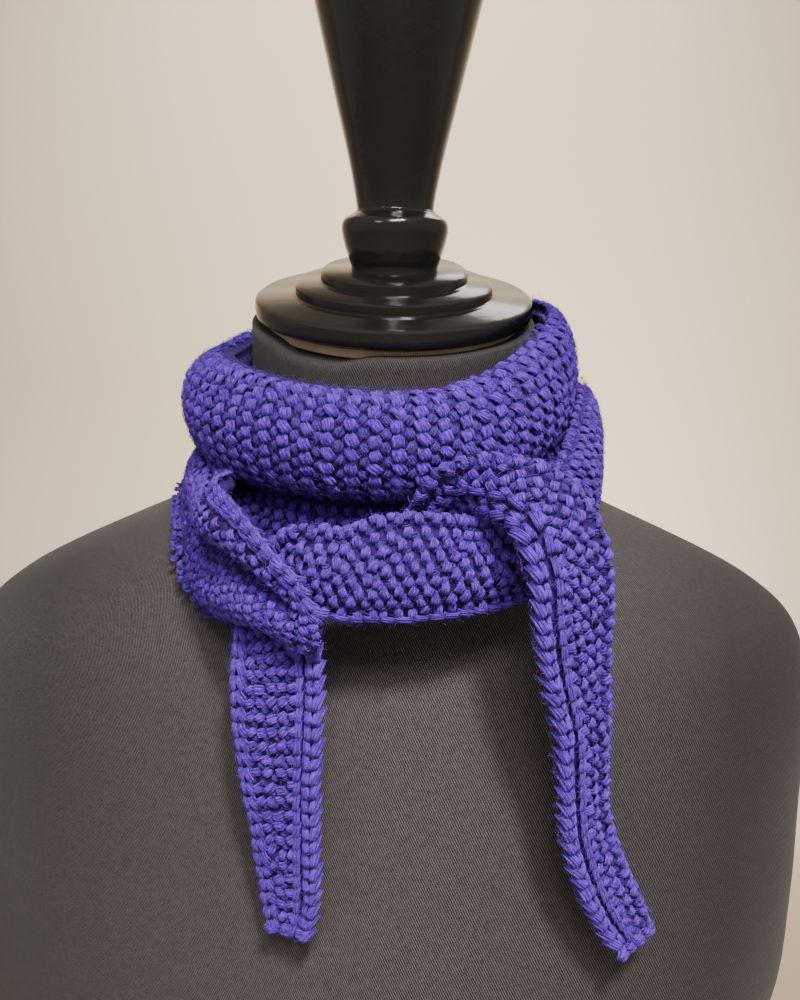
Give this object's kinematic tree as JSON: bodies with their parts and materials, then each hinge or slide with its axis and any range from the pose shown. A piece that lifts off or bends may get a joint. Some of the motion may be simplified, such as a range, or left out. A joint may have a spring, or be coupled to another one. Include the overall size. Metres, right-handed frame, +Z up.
{
  "type": "knit scarf on a dress form",
  "caption": "Chunky garter-stitch scarf with corded edges, knotted round the neck of a limbless dress form with a turned cap and finial.",
  "frame": {"origin": "centre of the outer box at the base the form stands on", "axes": "+Z up along the neck and finial, -Y to the front of the form, +X to the viewer's right"},
  "size_m": [0.368, 0.232, 0.818],
  "materials": {
    "wool": "fuzzy knitted wool",
    "twill": "fine twill",
    "lacquer": "black gloss lacquer on turned wood",
    "pale_wood": "bare"
  },
  "bodies": {
    "root": {"form_body": "twill", "neck_spacer": "pale_wood", "neck_cap": "lacquer", "finial": "lacquer", "scarf_neck_roll": "wool", "scarf_under_fold": "wool", "scarf_right_wrap": "wool", "scarf_left_wrap": "wool", "scarf_front_band": "wool", "scarf_knot_tuck": "wool", "scarf_right_tail": "wool", "scarf_left_tail": "wool"}
  },
  "joints": []
}
